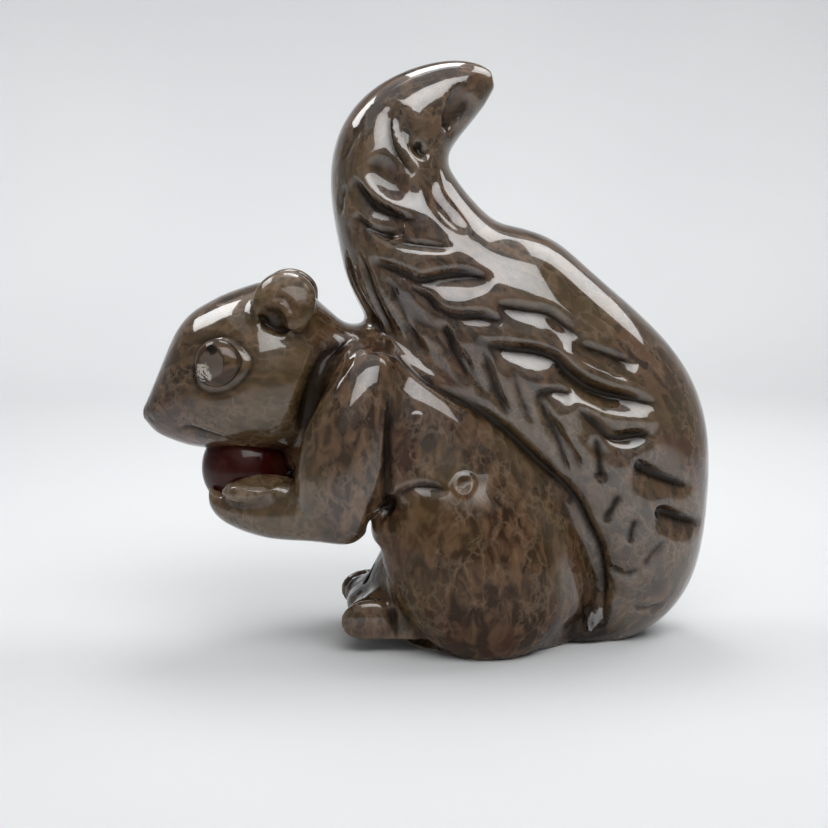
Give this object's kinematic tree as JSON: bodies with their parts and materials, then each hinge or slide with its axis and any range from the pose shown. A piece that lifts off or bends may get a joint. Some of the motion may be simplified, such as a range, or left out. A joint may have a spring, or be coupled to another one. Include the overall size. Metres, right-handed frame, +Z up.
{
  "type": "squirrel figurine",
  "caption": "Free-standing glazed ceramic squirrel that sits up and holds a nut to its mouth, with a plumed S-shaped tail; a shelf ornament built of luted castings.",
  "frame": {"origin": "on the resting plane, under the middle of the overall length, on the figure's plane of symmetry", "axes": "+Z up, -X to the squirrel's nose, -Y to its left side"},
  "size_m": [0.1698, 0.0726, 0.1717],
  "materials": {
    "body_glaze": "glossy mottled grey-brown glaze",
    "eye_glaze": "glossy dark brown glaze with pale crackle",
    "nut_glaze": "glossy dark oxblood glaze"
  },
  "bodies": {
    "root": {"body_casting": "body_glaze", "head_casting": "body_glaze", "tail_casting": "body_glaze", "left_haunch": "body_glaze", "right_haunch": "body_glaze", "left_hind_foot": "body_glaze", "right_hind_foot": "body_glaze", "left_foreleg": "body_glaze", "right_foreleg": "body_glaze", "left_ear": "body_glaze", "right_ear": "body_glaze", "left_eye": "eye_glaze", "right_eye": "eye_glaze", "nut": "nut_glaze"}
  },
  "joints": []
}
